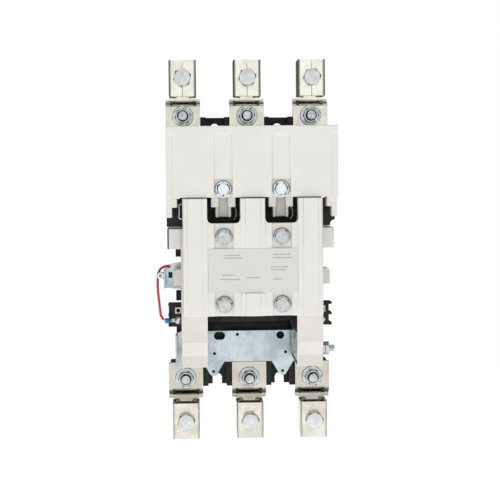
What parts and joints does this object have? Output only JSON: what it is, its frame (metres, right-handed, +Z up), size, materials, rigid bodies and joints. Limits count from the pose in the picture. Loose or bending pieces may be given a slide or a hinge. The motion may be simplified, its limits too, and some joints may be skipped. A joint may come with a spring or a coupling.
{
  "type": "motor control contactor",
  "caption": "Open-frame electromagnetic contactor with bolted arc box, box lugs and a relay carrier plate.",
  "frame": {"origin": "middle of the four mounting points, on the back mounting face", "axes": "+Z up towards the line terminals, -Y forwards towards the viewer, +X to the viewer's right; +Y is the back face's outward normal"},
  "size_m": [0.1711, 0.157, 0.3773],
  "materials": {
    "arc_box": "satin warm white moulding",
    "arc_box_screws": "bright zinc plate",
    "arc_chute_left": "plain steel",
    "arc_chute_middle": "plain steel",
    "arc_chute_right": "plain steel",
    "armature": "plain steel",
    "aux_backing_plate": "satin black moulding",
    "aux_housing_left": "satin warm white moulding",
    "aux_housing_right": "satin warm white moulding",
    "base_moulding": "satin black moulding",
    "bracket_connector": "bright zinc plate",
    "carrier_plate": "clear zinc plate, mottled",
    "carrier_plate_screws": "bright zinc plate",
    "coil_bobbin": "black moulding",
    "coil_terminal_clamps": "bright zinc plate",
    "coil_terminal_left": "satin black moulding",
    "coil_terminal_right": "satin black moulding",
    "coil_terminal_screws": "bright zinc plate",
    "coil_winding": "copper winding under dark tape",
    "contact_bridge_left": "copper with silver tips",
    "contact_bridge_middle": "copper with silver tips",
    "contact_bridge_right": "copper with silver tips",
    "contact_spring_left": "plain steel",
    "contact_spring_middle": "plain steel",
    "contact_spring_right": "plain steel",
    "core_cushions": "black rubber",
    "cover_screws": "bright zinc plate",
    "crossbar": "satin black moulding",
    "front_cover": "satin warm white moulding",
    "ground_nuts": "bright zinc plate",
    "ground_screw": "bright zinc plate",
    "jumper_lead": "dark red insulation",
    "kickout_springs": "plain steel",
    "line_collar_left": "bright tin plate",
    "line_collar_middle": "bright tin plate",
    "line_collar_right": "bright tin plate",
    "line_lug_left": "bright tin plate",
    "line_lug_middle": "bright tin plate",
    "line_lug_right": "bright tin plate",
    "line_strap_left": "tin-plated copper",
    "line_strap_middle": "tin-plated copper",
    "line_strap_right": "tin-plated copper",
    "load_collar_left": "bright tin plate",
    "load_collar_middle": "bright tin plate",
    "load_collar_right": "bright tin plate",
    "load_lug_left": "bright tin plate",
    "load_lug_middle": "bright tin plate",
    "load_lug_right": "bright tin plate",
    "load_strap_left": "tin-plated copper",
    "load_strap_middle": "tin-plated copper",
    "load_strap_right": "tin-plated copper",
    "magnet_core": "plain steel",
    "pole_base": "satin warm white moulding",
    "pressure_screws": "bright tin plate",
    "rating_plate": "pale grey, blank",
    "ring_terminal": "bright tin plate",
    "side_bracket": "clear zinc plate, mottled",
    "terminal_nuts": "bright zinc plate",
    "terminal_sleeve": "blue sleeve",
    "terminal_studs": "bright zinc plate"
  },
  "bodies": {
    "frame": {"arc_box": "arc_box", "arc_box_screws": "arc_box_screws", "arc_chute_left": "arc_chute_left", "arc_chute_middle": "arc_chute_middle", "arc_chute_right": "arc_chute_right", "aux_backing_plate": "aux_backing_plate", "aux_housing_left": "aux_housing_left", "aux_housing_right": "aux_housing_right", "base_moulding": "base_moulding", "bracket_connector": "bracket_connector", "carrier_plate": "carrier_plate", "carrier_plate_screws": "carrier_plate_screws", "coil_bobbin": "coil_bobbin", "coil_terminal_clamps": "coil_terminal_clamps", "coil_terminal_left": "coil_terminal_left", "coil_terminal_right": "coil_terminal_right", "coil_terminal_screws": "coil_terminal_screws", "coil_winding": "coil_winding", "core_cushions": "core_cushions", "cover_screws": "cover_screws", "front_cover": "front_cover", "ground_nuts": "ground_nuts", "ground_screw": "ground_screw", "jumper_lead": "jumper_lead", "kickout_springs": "kickout_springs", "line_collar_left": "line_collar_left", "line_collar_middle": "line_collar_middle", "line_collar_right": "line_collar_right", "line_lug_left": "line_lug_left", "line_lug_middle": "line_lug_middle", "line_lug_right": "line_lug_right", "line_strap_left": "line_strap_left", "line_strap_middle": "line_strap_middle", "line_strap_right": "line_strap_right", "load_collar_left": "load_collar_left", "load_collar_middle": "load_collar_middle", "load_collar_right": "load_collar_right", "load_lug_left": "load_lug_left", "load_lug_middle": "load_lug_middle", "load_lug_right": "load_lug_right", "load_strap_left": "load_strap_left", "load_strap_middle": "load_strap_middle", "load_strap_right": "load_strap_right", "magnet_core": "magnet_core", "pole_base": "pole_base", "pressure_screws": "pressure_screws", "rating_plate": "rating_plate", "ring_terminal": "ring_terminal", "side_bracket": "side_bracket", "terminal_nuts": "terminal_nuts", "terminal_sleeve": "terminal_sleeve", "terminal_studs": "terminal_studs"},
    "crossbar": {"crossbar": "crossbar", "armature": "armature", "contact_spring_left": "contact_spring_left", "contact_spring_middle": "contact_spring_middle", "contact_spring_right": "contact_spring_right"},
    "bridge_left": {"contact_bridge_left": "contact_bridge_left"},
    "bridge_middle": {"contact_bridge_middle": "contact_bridge_middle"},
    "bridge_right": {"contact_bridge_right": "contact_bridge_right"}
  },
  "joints": [
    {"name": "crossbar_slide", "type": "slide", "parent": "frame", "child": "crossbar", "axis": [0, 1, 0], "range_m": [0, 0.0095], "stiffness_N_per_m": 3000, "springref_m": -0.012, "deforming": ["kickout_springs"]},
    {"name": "bridge_slide_left", "type": "slide", "parent": "crossbar", "child": "bridge_left", "axis": [0, 1, 0], "range_m": [-0.0026, 0], "deforming": ["contact_spring_left"]},
    {"name": "bridge_slide_middle", "type": "slide", "parent": "crossbar", "child": "bridge_middle", "axis": [0, 1, 0], "range_m": [-0.0026, 0], "deforming": ["contact_spring_middle"]},
    {"name": "bridge_slide_right", "type": "slide", "parent": "crossbar", "child": "bridge_right", "axis": [0, 1, 0], "range_m": [-0.0026, 0], "deforming": ["contact_spring_right"]}
  ],
  "couplings": [
    {"joint": "bridge_slide_left", "follows": "crossbar_slide", "ratio": -0.27},
    {"joint": "bridge_slide_middle", "follows": "crossbar_slide", "ratio": -0.27},
    {"joint": "bridge_slide_right", "follows": "crossbar_slide", "ratio": -0.27}
  ]
}
